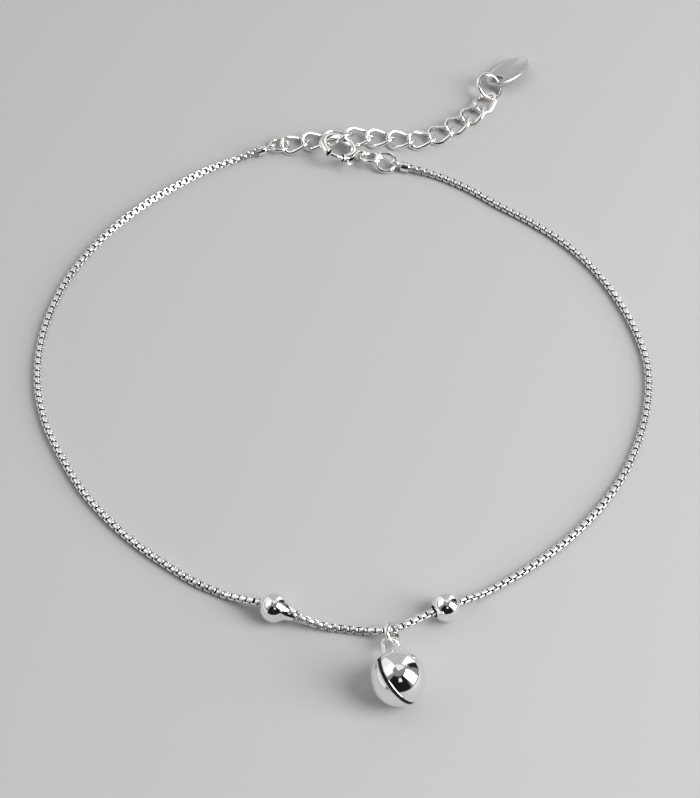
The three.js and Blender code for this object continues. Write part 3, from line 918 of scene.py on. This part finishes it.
# %% Make the bent tube and its eye
CLASP_RADIUS = 1.95
TUBE_RADIUS = 0.5
TUBE_WALL = 0.14
MOUTH = (230, 285)
NUB_ANGLE = 297
NUB_SLOT = (289.6, 329.4)
SLOT_HALF = 0.25
EYE_WIRE = 0.45
EYE_CENTRE = 3.08
EYE_RADIUS = 0.585

tube = bmesh.new()
around = [MOUTH[1], *NUB_SLOT, MOUTH[0] + 360]
tube_frames = []
for start, end in zip(around, around[1:]):
    tube_frames += arc_frames(CLASP_RADIUS, start, end, max(3, round((end - start) / 5)))[:-1]
tube_frames += arc_frames(CLASP_RADIUS, MOUTH[0] + 360, MOUTH[0] + 360, 0)
sweep(tube, tube_frames, TUBE_RADIUS, sides=32)
ends = [face for face in tube.faces if len(face.verts) > 4]
bmesh.ops.delete(tube, geom=ends, context="FACES_ONLY")
for way in (-1, 1):
    cut(tube, (0, 0, way * SLOT_HALF), (0, 0, 1))


def over_slot(face):
    """True for a face on the tube's outer side, above the slot."""
    centre = face.calc_center_median()
    angle = math.degrees(math.atan2(centre.y, centre.x)) % 360
    outer = centre.xy.length > CLASP_RADIUS and abs(centre.z) < SLOT_HALF
    return outer and NUB_SLOT[0] < angle < NUB_SLOT[1]


bmesh.ops.delete(tube, geom=[face for face in tube.faces if over_slot(face)], context="FACES")
bmesh.ops.recalc_face_normals(tube, faces=tube.faces)
outside = set(tube.faces)
bmesh.ops.solidify(tube, geom=tube.faces[:], thickness=TUBE_WALL)
# The tube's inner faces get the near-black finish: painted shade inside the tube, seen through its slot and
# mouth.
for face in tube.faces:
    face.material_index = 0 if face in outside else 1
soften(tube, 0.035)
stand_eye = Matrix.Rotation(EYE_ANGLE, 4, "Z") @ Matrix.Translation((EYE_CENTRE, 0, 0))
stand_eye = stand_eye @ Matrix.Rotation(math.pi / 2, 4, "X")
eye = [stand_eye @ step for step in arc_frames(EYE_RADIUS, 0, 354, 59)]
sweep(tube, eye, EYE_WIRE / 2, sides=16, closed=True)
keep(tube, "clasp_ring_silver", "clasp_ring", clasp_place, [mirror_silver, shade_and_oxide_silver])

# %% Make the sliding rod and its thumb bar
ROD_RADIUS = 0.28
ROD_ANGLES = (232.5, 317)
STEM_HALF = 0.17
BAR_REACH = 2.99
BAR_HALF = 0.475
BAR_RADIUS = 0.21

rod = bmesh.new()
rod_frames = arc_frames(CLASP_RADIUS, *ROD_ANGLES, 24)
tip = [0.55, 0.85]
sweep(rod, rod_frames, [ROD_RADIUS * share for share in tip + [1.0] * (len(rod_frames) - len(tip))])
nub_turn = Matrix.Rotation(math.radians(NUB_ANGLE), 4, "Z")
outwards = nub_turn @ Matrix.Rotation(math.pi / 2, 4, "Y")
stem = [outwards @ Matrix.Translation((0, 0, reach)) for reach in (CLASP_RADIUS, 2.4, BAR_REACH)]
sweep(rod, stem, [STEM_HALF * 1.1, STEM_HALF, STEM_HALF * 1.15])
along_bar = nub_turn @ Matrix.Translation((BAR_REACH, 0, 0)) @ Matrix.Rotation(-math.pi / 2, 4, "X")
bar_steps = np.linspace(-math.pi / 2, math.pi / 2, 13)
bar_middle = BAR_HALF - BAR_RADIUS
bar_frames = []
bar_radii = []
for angle in bar_steps[1:-1]:
    along = math.sin(angle) * BAR_RADIUS + math.copysign(bar_middle, angle) * (abs(angle) > 1e-6)
    bar_frames.append(along_bar @ Matrix.Translation((0, 0, along)))
    bar_radii.append(BAR_RADIUS * math.cos(angle))
sweep(rod, bar_frames, bar_radii)
keep(rod, "clasp_gate_silver", "clasp_gate", clasp_place, [mirror_silver], body="gate")

# %% [markdown]
# ## Tag
# The tag is an oval of sheet silver with a pressed rim and one hole for its ring. Its faces are
# bridges between loops: the outline, the two sides of the rim, and the hole. Its bare field is
# only brushed, so it looks greyer than the wire.

# %% Make the tag
TAG_HALF_LENGTH = 3.4
TAG_HALF_WIDTH = 2.0
TAG_HOLE_RADIUS = 0.75
TAG_HOLE_PLACE = -2.05
TAG_LOOPS = [(1.0, 0.14), (0.975, 0.22), (0.93, 0.25), (0.885, 0.22), (0.85, 0.17)]
HOLE_LOOPS = [(1.16, 0.17), (1.04, 0.15), (1.0, 0.1)]
TAG_SIDES = 96


def flat_loop(shape, centre, radii, height):
    place = Matrix.Translation((centre, 0, height)) @ Matrix.Diagonal((*radii, 1, 1))
    circle = bmesh.ops.create_circle(shape, segments=TAG_SIDES, radius=1, matrix=place)["verts"]
    return edges_of(circle)


tag = bmesh.new()
stack = []
for share, height in TAG_LOOPS:
    inset = TAG_HALF_WIDTH * (1 - share)
    stack.append((0, (TAG_HALF_LENGTH - inset, TAG_HALF_WIDTH - inset), height))
for share, height in HOLE_LOOPS:
    stack.append((TAG_HOLE_PLACE, (TAG_HOLE_RADIUS * share, TAG_HOLE_RADIUS * share), height))
top = [flat_loop(tag, centre, radii, height) for centre, radii, height in stack]
bottom = [flat_loop(tag, centre, radii, -height) for centre, radii, height in stack]
rows = bottom[::-1] + top
for before, after in zip(rows, rows[1:] + rows[:1]):
    bmesh.ops.bridge_loops(tag, edges=before + after)
tag_axis, tag_long = directions_of("tag")
away = middle_of("tag") - middle_of("tag_ring")
tag_long = tag_long if tag_long.dot(away) > 0 else -tag_long
keep(tag, "tag_silver_plate", "tag", placed(middle_of("tag"), tag_long, tag_axis), [tag_silver])
